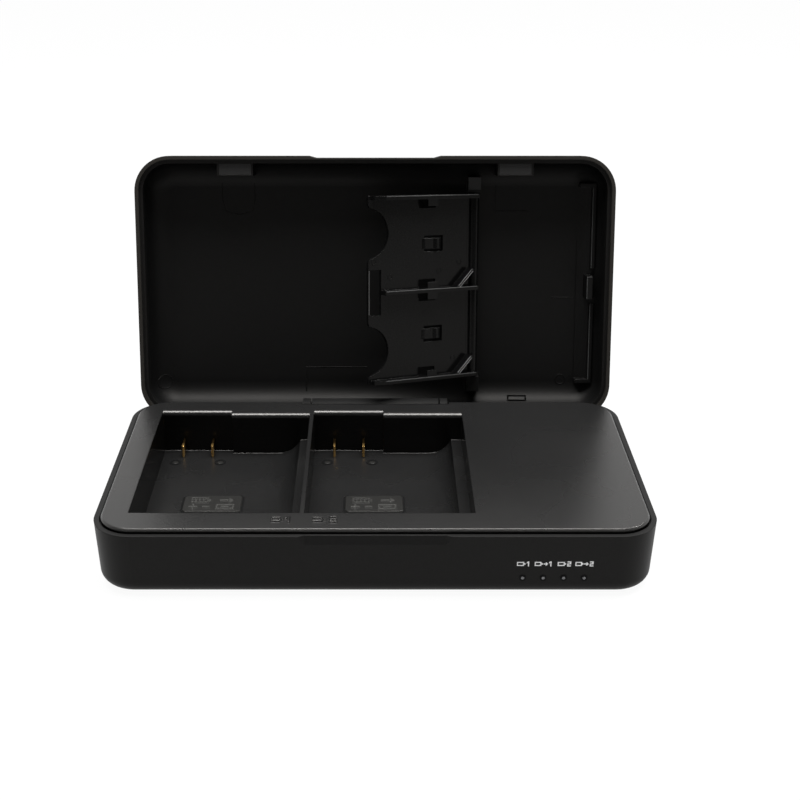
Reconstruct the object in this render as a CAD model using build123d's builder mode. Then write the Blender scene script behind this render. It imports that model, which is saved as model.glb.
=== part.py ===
from build123d import *
from math import atan2, cos, degrees, radians, sin, tan
import os

# Camera battery charger: a base with two battery bays and a hinged lid that holds a card tray.
# Millimetres. X runs to the right, Y to the rear and Z up, and the origin is on the table,
# under the middle of the base. The lid is modelled open, as far as its hinge lets it lean back.

# Case outline, shared by base, deck and lid
case_width = 142.0
case_depth = 78.7
corner_radius = 10.4
wall_draft = 2.5
seam_gap = 0.3
lip_width = 1.4
round_margin = 0.2

# Base
base_height = 17.2
base_wall = 2.4
base_floor = 2.4
base_edge_radius = 3.5

# Deck
deck_gap = 0.38
deck_rise = 1.07
deck_thickness = 2.2
deck_edge_chamfer = 0.5

# Battery bays, measured from the case's left face, with the spare depth shared front and rear
bay_from_left = 8.7
bay_front_share = 0.532
bay_width = 43.25
bay_length = 58.0
bay_divider = 1.1
bay_floor_height = 5.6
well_wall = 1.5
bay_edge_radius = 1.4
recess_width = 20.35
recess_length = 1.8
shelf_width = 3.0
shelf_height = 4.4
ramp_width = 6.5

# Contact blades, measured from the bay's left wall and floor
contact_from_left = 5.95
contact_pitch = 8.55
contact_thickness = 0.6
contact_height = 3.5
contact_lift = 0.2
contact_reach = 4.7
contact_tail = 0.5
contact_fit = 0.05
contact_nose_chamfer = 0.2

# Sides drawn on small round pieces that repeat
small_round_sides = 12

# Feet and case screws
foot_from_edge = 13.0
foot_from_bay_side = 4.3
foot_from_bay_end = 2.7
foot_width = 9.0
foot_thickness = 1.1
foot_proud = 0.5
foot_edge_chamfer = 0.3
foot_fit = 0.1
screw_diameter = 2.2
screw_head_width = 3.8
screw_head_sides = 6
screw_head_height = 0.8
screw_bite = 2.2
screw_fit = 0.03
screw_clearance = 0.15
screw_end_gap = 0.2
post_width = 5.2

# Hinge
pivot_drop = 5.03
pivot_inset = 0.98
open_angle = 103.7
pin_diameter = 2.0
pin_press = 0.02
pin_running = 0.05
block_width = 43.0
block_depth = 3.15
block_crown = 1.45
block_below = 2.6
block_groove = 0.4
block_cheek = 2.5
hinge_clearance = 0.35
arm_width = 4.2
barrel_radius = 1.9

# Lid
lid_height = 14.0
lid_depth = 12.0
lid_wall = 2.2
lid_lip = 1.1
lid_step = 1.4
lid_edge_radius = 9.4
lid_inner_radius = 7.0
rib_root = 0.4

# Finger scoop on both rims
scoop_width = 39.0
scoop_slant = 2.0
scoop_depth = 0.8
scoop_height = 2.6
lid_scoop_depth = 0.6
lid_scoop_height = 8.2

# Closure magnets
magnet_from_side = 29.6
magnet_width = 9.4
magnet_depth = 3.0
magnet_height = 5.0
magnet_fit = 0.05
magnet_block_width = 10.6
magnet_block_reach = 5.85
magnet_block_base = 1.0
base_magnet_height = 2.6
base_magnet_from_front = 5.2

# Card tray, measured from its hinge axis
tray_axis_from_right = 41.2
tray_axis_height = 3.5
tray_tilt = 30.0
tray_reach = 36.9
tray_top = 28.1
tray_bottom = 27.1
tray_plate = 1.0
tray_plate_behind = 0.7
tray_rib = 1.2
tray_rib_height = 2.8
tray_rib_slope_start = 4.4
tray_rib_slope_drop = 1.0
tray_plate_start = 2.6
tray_web = 0.7
tray_rib_setback = 1.0
tray_barrel_radius = 1.5
trunnion_radius = 1.0
trunnion_length = 2.4
trunnion_running = 0.05
tray_side_gap = 0.3
tray_stop_width = 8.0
tray_stop_thickness = 1.2
tray_stop_gap = 0.3
card_notch_radius = 7.4
card_notch_offset = 0.6
card_notch_from_middle = 17.3
card_notch_corner = 1.5
lug_start = 14.7
lug_length = 3.5
lug_reach = 2.0
lug_thickness = 0.6
lug_window_start = 13.9
lug_window_length = 5.7
lug_window_width = 2.6
tongue_end = 11.3
tongue_length = 6.5
tongue_width = 3.3
tongue_slit = 0.7
corner_rib_leg = 4.9
corner_rib_start = 2.2
corner_rib_thickness = 0.9
latch_slot_edge = 0.5
latch_slot_width = 3.8
latch_slot_length = 13.3

# Tray bosses and bracket rib in the lid
boss_width = 4.0
boss_thickness = 4.7
boss_cover = 1.0
bracket_inset = 1.1
bracket_thickness = 1.2
bracket_height = 3.0
bracket_arm = 3.8
bracket_arm_gap = 1.8
catch_length = 7.0
catch_height = 7.2
catch_thickness = 1.8
catch_inset = 2.75
catch_gap = 1.9
lid_pocket_from_right = 27.0
lid_pocket_width = 5.8
lid_pocket_depth = 1.6
lid_pocket_groove = 0.35
lid_pocket_from_rear = 3.55
lid_pocket_height = 1.2

# Indicators, measured from the main board's left edge and the base's underside
indicator_from_board = 9.1
indicator_pitch = 5.12
indicator_count = 4
indicator_height = 5.1
guide_diameter = 1.2
guide_proud = 0.1
guide_fit = 0.05
guide_gap = 0.05
led_width = 1.6
led_depth = 1.2
led_height = 1.4

# Circuit boards and what they carry
board_thickness = 1.6
board_gap = 0.9
board_from_wall = 1.6
board_tab_width = 40.0
board_post_width = 3.0
board_post_inset = 4.0
contact_board_thickness = 1.0
contact_board_height = 6.0
contact_board_start = 3.5
contact_board_overlap = 6.4
chip_size = 7.0
chip_height = 1.0
coil_width = 8.0
coil_height = 4.2
capacitor_diameter = 6.3
capacitor_height = 7.7
resistor_length = 12.0
resistor_width = 5.0
resistor_height = 5.2
part_spacing = 9.0
part_from_board = 5.3
resistor_from_board = 13.0
resistor_from_middle = 14.5
inlet_from_middle = 8.0
inlet_body_length = 12.0
inlet_body_width = 9.0
inlet_nose_diameter = 8.0
inlet_nose_fit = 0.2
inlet_nose_set_back = 0.3
inlet_bore_diameter = 5.7
inlet_bore_depth = 9.5
inlet_pin_diameter = 2.0
inlet_pin_length = 8.0

# Shared heights and faces
half_width = case_width / 2
half_depth = case_depth / 2
base_z = foot_proud
rim_z = base_z + base_height
floor_z = base_z + base_floor
deck_inset = lip_width + deck_gap
deck_top = rim_z + deck_rise
ledge_z = deck_top - deck_thickness
bay_floor_z = base_z + bay_floor_height
draft_run = tan(radians(wall_draft))
foot_recess = foot_thickness - foot_proud

# Battery bays
bay_lefts = [-half_width + bay_from_left + number * (bay_width + bay_divider) for number in range(2)]
bay_front = -half_depth + bay_front_share * (case_depth - bay_length - recess_length)
bay_stop = bay_front + bay_length
bay_rear = bay_stop + recess_length
bay_round = min(bay_edge_radius, (half_depth - block_depth - hinge_clearance - bay_rear) / 2)
wells_right = bay_lefts[-1] + bay_width + well_wall
wells_rear = bay_rear + well_wall

# Feet and screws: the left pair under the wells, the right pair under the plain area
foot_places = [(x, y) for x in (bay_lefts[0] + foot_from_bay_side, half_width - foot_from_edge)
               for y in (bay_front + foot_from_bay_end, bay_stop - foot_from_bay_end)]

# Hinge axis, and the lid's mouth when it has turned back about it
pivot_y = half_depth - pivot_inset
pivot_z = rim_z - pivot_drop
lean = radians(open_angle - 90)
lid_up = Vector(0, sin(lean), cos(lean))
lid_out = Vector(0, -cos(lean), sin(lean))
mouth_over_pivot = rim_z + seam_gap - pivot_z
mouth_middle = Vector(0, pivot_y, pivot_z) + lid_up * pivot_y - lid_out * mouth_over_pivot
lid_mouth = Plane(origin=mouth_middle, x_dir=(1, 0, 0), z_dir=lid_out)
lid_inward = Plane(origin=mouth_middle, x_dir=(1, 0, 0), z_dir=-lid_out)
lid_side = Plane(origin=mouth_middle, x_dir=lid_up, z_dir=(1, 0, 0))
lid_axis = Axis(mouth_middle, lid_out)

# Card tray: its own plane runs from the hinge axis to the free edge, and down the lid
tilt = radians(tray_tilt)
tray_axis_x = half_width - tray_axis_from_right
tray_axis_z = tray_axis_height - lid_depth
tray_origin = mouth_middle + Vector(tray_axis_x, 0, 0) + lid_out * tray_axis_z
tray_along = Vector(-cos(tilt), 0, 0) + lid_out * sin(tilt)
tray_face = Vector(sin(tilt), 0, 0) + lid_out * cos(tilt)
tray_plane = Plane(origin=tray_origin, x_dir=tray_along, z_dir=tray_face)
tray_rib_middles = [-tray_top + tray_rib / 2, 0, tray_bottom - tray_rib / 2]
card_middles = [(tray_rib_middles[number] + tray_rib_middles[number + 1]) / 2 for number in range(2)]

# Boards
board_z = base_z + indicator_height - led_height / 2 - board_thickness
board_top = board_z + board_thickness
board_left = wells_right + board_gap
board_right = half_width - base_wall - base_height * draft_run - board_from_wall
board_end = half_depth - base_wall - base_height * draft_run - board_from_wall
board_post_height = board_z - floor_z
indicator_z = base_z + indicator_height
indicator_places = [board_left + indicator_from_board + indicator_pitch * number
                    for number in range(indicator_count)]
board_shoulder = half_width - foot_from_edge - post_width
inlet_z = board_top + inlet_body_width / 2


def wall_face(half_size, z):
    """Distance of the drafted outer wall from the middle of the case at height z."""
    return half_size - (rim_z - z) * draft_run


def bay_points(left, grow=0.0):
    """Stepped outline of one bay: the battery's place, with the contact recess at its rear left."""
    return [
        (left - grow, bay_front - grow),
        (left + bay_width + grow, bay_front - grow),
        (left + bay_width + grow, bay_stop + grow),
        (left + recess_width + grow, bay_stop + grow),
        (left + recess_width + grow, bay_rear + grow),
        (left - grow, bay_rear + grow),
    ]


def scoop_points(depth):
    """Shallow trapezoid across the front rim, open to the outside."""
    return [
        (-scoop_width / 2 - 2 * scoop_slant, half_depth + 2 * depth),
        (scoop_width / 2 + 2 * scoop_slant, half_depth + 2 * depth),
        (scoop_width / 2 - scoop_slant, half_depth - depth),
        (-scoop_width / 2 + scoop_slant, half_depth - depth),
    ]


os.makedirs("parts", exist_ok=True)

# Base shell: drafted tub with a rebated rim, hinge block, screw seats, board posts and wall openings
rim_down = Plane(origin=(0, 0, rim_z), x_dir=(1, 0, 0), z_dir=(0, 0, -1))
with BuildPart() as base_shell:
    with BuildSketch(rim_down):
        RectangleRounded(case_width, case_depth, corner_radius)
    extrude(amount=base_height, taper=wall_draft)
    fillet(base_shell.faces().sort_by(Axis.Z)[0].edges(), radius=base_edge_radius)
    with BuildSketch(rim_down):
        RectangleRounded(case_width - 2 * base_wall, case_depth - 2 * base_wall, corner_radius - base_wall)
    extrude(amount=base_height - base_floor, taper=wall_draft, mode=Mode.SUBTRACT)
    with BuildSketch(rim_down):
        RectangleRounded(case_width - 2 * lip_width, case_depth - 2 * lip_width, corner_radius - lip_width)
    extrude(amount=rim_z - ledge_z, mode=Mode.SUBTRACT)

    # Slots for the lid's two hinge arms, either side of the block
    slot_width = arm_width + 2 * hinge_clearance
    slot_floor_z = pivot_z - barrel_radius - hinge_clearance
    slot_front = pivot_y - barrel_radius - hinge_clearance
    slot_x = (block_width + slot_width) / 2
    slot_y = (slot_front + half_depth) / 2
    with BuildSketch(Plane.XY.offset(slot_floor_z)):
        with Locations((-slot_x, slot_y), (slot_x, slot_y)):
            Rectangle(slot_width, half_depth - slot_front + lip_width)
    extrude(amount=base_height, mode=Mode.SUBTRACT)

    # Hinge block: a bar across the rear wall, rounded about the hinge axis and bored for the pin
    block_front = half_depth - block_depth
    block_foot_z = pivot_z - block_below
    block_radius = pivot_drop + block_crown
    block_top = pivot_z + block_radius
    with BuildSketch(Plane.YZ.offset(-block_width / 2)):
        with BuildLine():
            Polyline(
                (block_front, block_foot_z),
                (wall_face(half_depth, block_foot_z), block_foot_z),
                (half_depth, rim_z),
                (half_depth, block_top),
                (block_front, block_top),
                close=True,
            )
        make_face()
        with Locations((pivot_y, pivot_z)):
            Circle(block_radius, mode=Mode.INTERSECT)
    extrude(amount=block_width)
    with BuildSketch(Plane.YZ.offset(-block_width / 2)):
        with Locations((pivot_y, pivot_z)):
            Circle(pin_diameter / 2 + pin_press)
    extrude(amount=block_width, mode=Mode.SUBTRACT)
    groove_x = block_width / 2 - block_cheek
    groove_y = half_depth - block_depth / 2
    with BuildSketch(Plane.XY.offset(rim_z)):
        with Locations((-groove_x, groove_y), (groove_x, groove_y)):
            Rectangle(block_groove, 2 * block_depth)
    extrude(amount=block_radius, mode=Mode.SUBTRACT)

    # Finger scoop in the front rim, a slope that runs out down the wall
    with BuildSketch(rim_down):
        with BuildLine():
            Polyline(*scoop_points(scoop_depth), close=True)
        make_face()
    scoop_slope = degrees(atan2(scoop_depth, scoop_height))
    extrude(amount=scoop_height, taper=scoop_slope, mode=Mode.SUBTRACT)

    # Holes for the light guides and the power inlet
    with BuildSketch(Plane.XZ.offset(half_depth)):
        with Locations(*[(x, indicator_z) for x in indicator_places]):
            RegularPolygon(guide_diameter / 2 + guide_fit, small_round_sides)
    extrude(amount=-2 * base_wall, mode=Mode.SUBTRACT)
    with BuildSketch(Plane.YZ.offset(half_width)):
        with Locations((inlet_from_middle, inlet_z)):
            Circle(inlet_nose_diameter / 2 + inlet_nose_fit)
    extrude(amount=-2 * base_wall, mode=Mode.SUBTRACT)

    # Posts under the main board
    with BuildSketch(Plane.XY.offset(floor_z)):
        with Locations(*[(x, y * (board_end - board_post_inset))
                         for x in (board_left + board_post_inset, board_shoulder - board_post_inset)
                         for y in (-1, 1)]):
            Rectangle(board_post_width, board_post_width)
    extrude(amount=board_post_height)

    # Foot recesses, each with a screw seat at its middle
    with BuildSketch(Plane.XY.offset(base_z)):
        with Locations(*foot_places):
            Rectangle(foot_width + 2 * foot_fit, foot_width + 2 * foot_fit)
    extrude(amount=foot_recess, mode=Mode.SUBTRACT)
    with BuildSketch(Plane.XY.offset(base_z)):
        with Locations(*foot_places):
            RegularPolygon(screw_head_width / 2 + screw_clearance, screw_head_sides, major_radius=False)
    extrude(amount=foot_recess + screw_head_height, mode=Mode.SUBTRACT)
    with BuildSketch(Plane.XY.offset(base_z)):
        with Locations(*foot_places):
            RegularPolygon(screw_diameter / 2 + screw_clearance, small_round_sides)
    extrude(amount=base_floor, mode=Mode.SUBTRACT)
base_shell.part.label = "base_shell"
export_step(base_shell.part, "parts/base_shell.step")

# Deck: cover plate and both battery wells, moulded in one, with screw posts that stand on the base
with BuildPart() as deck:
    with BuildSketch(Plane.XY.offset(ledge_z)):
        RectangleRounded(case_width - 2 * deck_inset, case_depth - 2 * deck_inset, corner_radius - deck_inset)
    extrude(amount=deck_thickness)
    chamfer(deck.faces().sort_by(Axis.Z)[-1].edges(), length=deck_edge_chamfer)
    with BuildSketch(Plane.XY.offset(ledge_z)):
        with Locations((0, half_depth)):
            Rectangle(block_width + 2 * hinge_clearance, 2 * (block_depth + hinge_clearance))
    extrude(amount=deck_thickness, mode=Mode.SUBTRACT)
    for left in bay_lefts:
        with BuildSketch(Plane.XY.offset(bay_floor_z - well_wall)):
            with BuildLine():
                Polyline(*bay_points(left, well_wall), close=True)
            make_face()
        extrude(amount=ledge_z - bay_floor_z + well_wall)
    for left in bay_lefts:
        with BuildSketch(Plane.XY.offset(bay_floor_z)):
            with BuildLine():
                Polyline(*bay_points(left), close=True)
            make_face()
        extrude(amount=deck_top - bay_floor_z, mode=Mode.SUBTRACT)
    bay_rims = deck.edges().filter_by(Axis.X).filter_by_position(Axis.Z, deck_top, deck_top)
    fillet(bay_rims.filter_by_position(Axis.Y, bay_stop, bay_rear), radius=bay_round)

    # Side shelf of each bay, with the hollow ramp that leads the battery onto the floor
    for left in bay_lefts:
        right = left + bay_width
        with BuildSketch(Plane.XZ.offset(-bay_front)):
            with BuildLine():
                ramp = TangentArc(
                    (right - shelf_width - ramp_width, bay_floor_z),
                    (right - shelf_width, bay_floor_z + shelf_height),
                    tangent=(1, 0),
                )
                Polyline(ramp @ 1, (right, bay_floor_z + shelf_height), (right, bay_floor_z), ramp @ 0)
            make_face()
        extrude(amount=-bay_length)

    # Slots for the contact blades in the rear wall of each recess
    slot_thickness = contact_thickness + 2 * contact_fit
    slot_height = contact_height + 2 * contact_fit
    with BuildSketch(Plane.XZ.offset(-bay_rear)):
        with Locations(*[(left + contact_from_left + number * contact_pitch,
                          bay_floor_z + contact_lift + contact_height / 2)
                         for left in bay_lefts for number in range(2)]):
            Rectangle(slot_thickness, slot_height)
    extrude(amount=-well_wall, mode=Mode.SUBTRACT)

    # Screw posts: short ones under the wells, long ones under the plain area
    for x, y in foot_places:
        post_top = bay_floor_z - well_wall if x < wells_right else ledge_z
        with BuildSketch(Plane.XY.offset(floor_z)):
            with Locations((x, y)):
                Rectangle(post_width, post_width)
        extrude(amount=post_top - floor_z)
        with BuildSketch(Plane.XY.offset(floor_z)):
            with Locations((x, y)):
                RegularPolygon(screw_diameter / 2 + screw_fit, small_round_sides)
        extrude(amount=screw_bite + screw_end_gap, mode=Mode.SUBTRACT)
deck.part.label = "deck"
export_step(deck.part, "parts/deck.step")

# Lid shell: hollow lid with soft outer edges, built on the plane of its open mouth
lid_round = min(lid_edge_radius, corner_radius - round_margin)
lid_hollow_round = min(lid_inner_radius, corner_radius - lid_wall - round_margin)
lid_floor = lid_mouth.offset(-lid_depth - rib_root)
with BuildPart() as lid_hollow:
    with BuildSketch(lid_inward):
        RectangleRounded(case_width - 2 * lid_wall, case_depth - 2 * lid_wall, corner_radius - lid_wall)
    extrude(amount=lid_depth)
    fillet(lid_hollow.faces().sort_by(lid_axis)[0].edges(), radius=lid_hollow_round)
with BuildPart() as lid_shell:
    with BuildSketch(lid_inward):
        RectangleRounded(case_width, case_depth, corner_radius)
    extrude(amount=lid_height)
    fillet(lid_shell.faces().sort_by(lid_axis)[0].edges(), radius=lid_round)
    add(lid_hollow.part, mode=Mode.SUBTRACT)
    with BuildSketch(lid_inward):
        RectangleRounded(case_width - 2 * lid_lip, case_depth - 2 * lid_lip, corner_radius - lid_lip)
    extrude(amount=lid_step, mode=Mode.SUBTRACT)

    # Notch in the rear lip that passes over the hinge block
    with BuildSketch(lid_mouth):
        with Locations((0, -half_depth)):
            Rectangle(block_width + 2 * hinge_clearance, 2 * (block_depth + hinge_clearance))
    extrude(amount=-(block_crown - seam_gap + hinge_clearance), mode=Mode.SUBTRACT)

    # Hinge arms, from the rear lip down to the barrel round the pin
    for side in (-1, 1):
        arm_start = side * (block_width + slot_width) / 2 - arm_width / 2
        with BuildSketch(lid_side.offset(arm_start)):
            with BuildLine():
                Polyline(
                    (-half_depth, -lid_step - rib_root),
                    (-half_depth, 0),
                    (-pivot_y - barrel_radius, mouth_over_pivot),
                    (-pivot_y + barrel_radius, mouth_over_pivot),
                    (-half_depth + lip_width, lip_width),
                    (-half_depth + lip_width, -lid_step - rib_root),
                    close=True,
                )
            make_face()
            with Locations((-pivot_y, mouth_over_pivot)):
                Circle(barrel_radius)
                Circle(pin_diameter / 2 + pin_running, mode=Mode.SUBTRACT)
        extrude(amount=arm_width)

    # Finger scoop in the front rim, a flat that runs out in the rounded edge
    with BuildSketch(lid_mouth):
        with BuildLine():
            Polyline(*scoop_points(lid_scoop_depth), close=True)
        make_face()
    extrude(amount=-lid_scoop_height, mode=Mode.SUBTRACT)

    # Magnet blocks against the front wall, each with its pocket
    magnet_from_middle = half_width - magnet_from_side
    block_near = half_depth - magnet_block_reach
    block_far = half_depth - lid_wall + round_margin
    for side in (-1, 1):
        with BuildSketch(lid_side.offset(side * magnet_from_middle - magnet_block_width / 2)):
            with BuildLine():
                Polyline(
                    (block_near, -lid_step),
                    (block_far, -lid_step),
                    (block_far, -lid_step - magnet_height - magnet_block_base),
                    (block_near, -lid_depth + magnet_block_base),
                    close=True,
                )
            make_face()
        extrude(amount=magnet_block_width)
    with BuildSketch(lid_mouth.offset(-lid_step)):
        with Locations(*[(side * magnet_from_middle, (block_near + block_far) / 2) for side in (-1, 1)]):
            Rectangle(magnet_width + 2 * magnet_fit, magnet_depth + 2 * magnet_fit)
    extrude(amount=-magnet_height - magnet_fit, mode=Mode.SUBTRACT)

    # Bosses that carry the card tray's trunnions
    boss_gap = tray_side_gap + boss_thickness / 2
    boss_places = [tray_top + boss_gap, -tray_bottom - boss_gap]
    with BuildSketch(lid_floor):
        with Locations(*[(tray_axis_x, y) for y in boss_places]):
            Rectangle(boss_width, boss_thickness)
    extrude(amount=tray_axis_height + rib_root + trunnion_radius + boss_cover)
    with BuildSketch(Plane(origin=tray_origin, x_dir=(1, 0, 0), z_dir=lid_up)):
        Circle(trunnion_radius + trunnion_running)
    extrude(amount=tray_top + tray_side_gap + boss_thickness, both=True, mode=Mode.SUBTRACT)

    # Bracket rib that the folded tray rests on, with the catch that enters its latch slot
    bracket_x = tray_axis_x + tray_reach - bracket_inset
    catch_x = tray_axis_x + tray_reach - catch_inset
    bracket_top = tray_top + bracket_arm_gap
    bracket_bottom = -tray_bottom - bracket_arm_gap
    run_top = bracket_top - catch_length / 2 - catch_gap
    run_bottom = -bracket_bottom - catch_length / 2 - catch_gap
    with BuildSketch(lid_floor):
        with Locations((bracket_x + bracket_thickness / 2, bracket_top - run_top / 2)):
            Rectangle(bracket_thickness, run_top)
        with Locations((bracket_x + bracket_thickness / 2, bracket_bottom + run_bottom / 2)):
            Rectangle(bracket_thickness, run_bottom)
        for y in (bracket_top + bracket_thickness / 2, bracket_bottom - bracket_thickness / 2):
            with Locations((bracket_x + (bracket_thickness - bracket_arm) / 2, y)):
                Rectangle(bracket_arm + bracket_thickness, bracket_thickness)
    extrude(amount=bracket_height + rib_root)
    with BuildSketch(lid_floor):
        with Locations((catch_x + catch_thickness / 2, 0)):
            Rectangle(catch_thickness, catch_length)
    extrude(amount=catch_height + rib_root)

    # Small grooved frame in the hollow's rear corner
    lid_pocket_x = half_width - lid_pocket_from_right
    island_width = lid_pocket_width - 2 * lid_pocket_groove
    island_depth = lid_pocket_depth - 2 * lid_pocket_groove
    with BuildSketch(lid_mouth.offset(-lid_depth + lid_pocket_height)):
        with Locations((lid_pocket_x, -half_depth + lid_pocket_from_rear + lid_pocket_depth / 2)):
            Rectangle(lid_pocket_width, lid_pocket_depth)
            Rectangle(island_width, island_depth, mode=Mode.SUBTRACT)
    extrude(amount=lid_pocket_height + rib_root, mode=Mode.SUBTRACT)
lid_shell.part.label = "lid_shell"
export_step(lid_shell.part, "parts/lid_shell.step")

# Hinge pin through the block and both arms
pin_length = block_width + 2 * (arm_width + hinge_clearance)
with BuildPart() as hinge_pin:
    with BuildSketch(Plane.YZ.offset(-pin_length / 2)):
        with Locations((pivot_y, pivot_z)):
            Circle(pin_diameter / 2)
    extrude(amount=pin_length)
hinge_pin.part.label = "hinge_pin"
export_step(hinge_pin.part, "parts/hinge_pin.step")

# Card tray: thin plate with two card pockets between three ribs, turning on moulded trunnions
plate_back = -tray_plate_behind
plate_face = plate_back + tray_plate
rib_face = plate_face + tray_rib_height
rib_slope = tray_reach - tray_rib_slope_start
side_rib_end = tray_reach - tray_rib_setback
rib_ends = [side_rib_end, tray_reach - latch_slot_edge - latch_slot_width, side_rib_end]
with BuildPart() as card_tray:
    with BuildSketch(tray_plane.offset(plate_back)):
        with Locations(((tray_plate_start + tray_reach) / 2, (tray_bottom - tray_top) / 2)):
            Rectangle(tray_reach - tray_plate_start, tray_top + tray_bottom)
        notch_x = tray_reach + card_notch_offset
        with Locations((notch_x, -card_notch_from_middle), (notch_x, card_notch_from_middle)):
            Circle(card_notch_radius, mode=Mode.SUBTRACT)
        # Spring tongues, each cut free on three sides
        for middle in card_middles:
            with Locations((tongue_end + tongue_length / 2, middle - tongue_width / 2 - tongue_slit / 2)):
                Rectangle(tongue_length, tongue_slit, mode=Mode.SUBTRACT)
            with Locations((tongue_end + tongue_length / 2, middle + tongue_width / 2 + tongue_slit / 2)):
                Rectangle(tongue_length, tongue_slit, mode=Mode.SUBTRACT)
            with Locations((tongue_end + tongue_slit / 2, middle)):
                Rectangle(tongue_slit, tongue_width + 2 * tongue_slit, mode=Mode.SUBTRACT)
        with Locations((tray_reach - latch_slot_edge - latch_slot_width / 2, 0)):
            Rectangle(latch_slot_width, latch_slot_length, mode=Mode.SUBTRACT)
        # Windows in the plate under the hold-down lugs
        window_middle = lug_window_start + lug_window_length / 2
        for number, middle in enumerate(tray_rib_middles):
            for side in (-1, 1):
                if (number, side) not in ((0, -1), (2, 1)):
                    with Locations((window_middle, middle + side * (tray_rib + lug_window_width) / 2)):
                        Rectangle(lug_window_length, lug_window_width, mode=Mode.SUBTRACT)
    extrude(amount=tray_plate)
    notch_corners = card_tray.edges().filter_by(Axis(tray_origin, tray_face))
    free_edge = Axis(tray_origin, tray_along)
    notch_corners = notch_corners.group_by(free_edge)[-1].sort_by(Axis(tray_origin, lid_up))
    fillet(notch_corners[1:-1], radius=card_notch_corner)

    # Web from the plate to the hinge barrel
    with BuildSketch(tray_plane.offset(plate_back)):
        with Locations((tray_plate_start / 2, (tray_bottom - tray_top) / 2)):
            Rectangle(tray_plate_start, tray_top + tray_bottom)
    extrude(amount=tray_web)

    # Ribs that part the pockets, sloping down towards the free edge
    tray_cross = Plane(origin=tray_origin, x_dir=tray_along, z_dir=lid_up)
    for middle, end in zip(tray_rib_middles, rib_ends):
        end_face = rib_face - tray_rib_slope_drop * (end - rib_slope) / tray_rib_slope_start
        with BuildSketch(tray_cross.offset(-middle - tray_rib / 2)):
            with BuildLine():
                Polyline(
                    (0, plate_back),
                    (end, plate_back),
                    (end, end_face),
                    (rib_slope, rib_face),
                    (0, rib_face),
                    close=True,
                )
            make_face()
        extrude(amount=tray_rib)

    # Hold-down lugs, one on each side of a pocket
    with BuildSketch(tray_plane.offset(rib_face - lug_thickness)):
        for number, middle in enumerate(tray_rib_middles):
            for side in (-1, 1):
                if (number, side) not in ((0, -1), (2, 1)):
                    with Locations((lug_start + lug_length / 2, middle + side * lug_reach / 2)):
                        Rectangle(lug_length, lug_reach + tray_rib)
    extrude(amount=lug_thickness)

    # Slanting ribs across the cards' cut corners
    with BuildSketch(tray_plane.offset(plate_face - tray_web)):
        for middle in tray_rib_middles[1:]:
            with BuildLine():
                foot = middle - tray_rib / 2
                corner_rib_end = corner_rib_start + corner_rib_leg
                run = Line((corner_rib_start, foot - corner_rib_leg), (corner_rib_end, foot))
                offset(run, amount=corner_rib_thickness / 2, side=Side.BOTH)
            make_face()
    extrude(amount=tray_rib_height + tray_web)

    # Hinge barrel with its trunnions, and the two stop tabs that meet the lid's floor
    with BuildSketch(tray_cross.offset(-tray_bottom)):
        Circle(tray_barrel_radius)
    extrude(amount=tray_top + tray_bottom)
    with BuildSketch(tray_cross.offset(-tray_bottom - trunnion_length)):
        Circle(trunnion_radius)
    extrude(amount=tray_top + tray_bottom + 2 * trunnion_length)
    stop_length = tray_axis_height - tray_stop_gap
    stop_plane = Plane(origin=tray_origin, x_dir=(1, 0, 0), z_dir=-lid_out)
    with BuildSketch(stop_plane):
        with Locations(*[(0, middle) for middle in card_middles]):
            Rectangle(tray_stop_thickness, tray_stop_width)
    extrude(amount=stop_length)
card_tray.part.label = "card_tray"
export_step(card_tray.part, "parts/card_tray.step")

# Closure magnets in the lid, and under the deck's front margin
for side, name in ((-1, "left"), (1, "right")):
    with BuildPart() as lid_magnet:
        with BuildSketch(lid_mouth.offset(-lid_step - magnet_fit)):
            with Locations((side * magnet_from_middle, (block_near + block_far) / 2)):
                Rectangle(magnet_width, magnet_depth)
        extrude(amount=-magnet_height)
    lid_magnet.part.label = f"lid_magnet_{name}"
    export_step(lid_magnet.part, f"parts/lid_magnet_{name}.step")
    with BuildPart() as base_magnet:
        with BuildSketch(Plane.XY.offset(ledge_z - base_magnet_height)):
            with Locations((side * magnet_from_middle, -half_depth + base_magnet_from_front)):
                Rectangle(magnet_width, magnet_depth)
        extrude(amount=base_magnet_height)
    base_magnet.part.label = f"base_magnet_{name}"
    export_step(base_magnet.part, f"parts/base_magnet_{name}.step")

# Contact board: upright strip behind the wells, standing on the main board at its right end
contact_z = bay_floor_z + contact_lift
with BuildPart() as contact_board:
    with BuildSketch(Plane.XZ.offset(-wells_rear)):
        strip_left = bay_lefts[0] + contact_board_start
        strip_right = board_left + contact_board_overlap
        with Locations(((strip_left + strip_right) / 2, board_top + contact_board_height / 2)):
            Rectangle(strip_right - strip_left, contact_board_height)
        with Locations(*[(left + contact_from_left + number * contact_pitch, contact_z + contact_height / 2)
                         for left in bay_lefts for number in range(2)]):
            Rectangle(slot_thickness, slot_height, mode=Mode.SUBTRACT)
    extrude(amount=-contact_board_thickness)
contact_board.part.label = "contact_board"
export_step(contact_board.part, "parts/contact_board.step")

# Contact blades, from the strip board through the well's rear wall into the bay
blade_length = contact_reach + well_wall + contact_board_thickness + contact_tail
for bay, left in enumerate(bay_lefts, start=1):
    for number, name in enumerate(("left", "right")):
        blade_x = left + contact_from_left + number * contact_pitch
        with BuildPart() as contact:
            with BuildSketch(Plane.XY.offset(contact_z)):
                with Locations((blade_x, bay_rear - contact_reach + blade_length / 2)):
                    Rectangle(contact_thickness, blade_length)
            extrude(amount=contact_height)
            nose = contact.faces().sort_by(Axis.Y)[0]
            chamfer(nose.edges().filter_by(Axis.Z), length=contact_nose_chamfer)
        contact.part.label = f"bay_{bay}_contact_{name}"
        export_step(contact.part, f"parts/bay_{bay}_contact_{name}.step")

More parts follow.
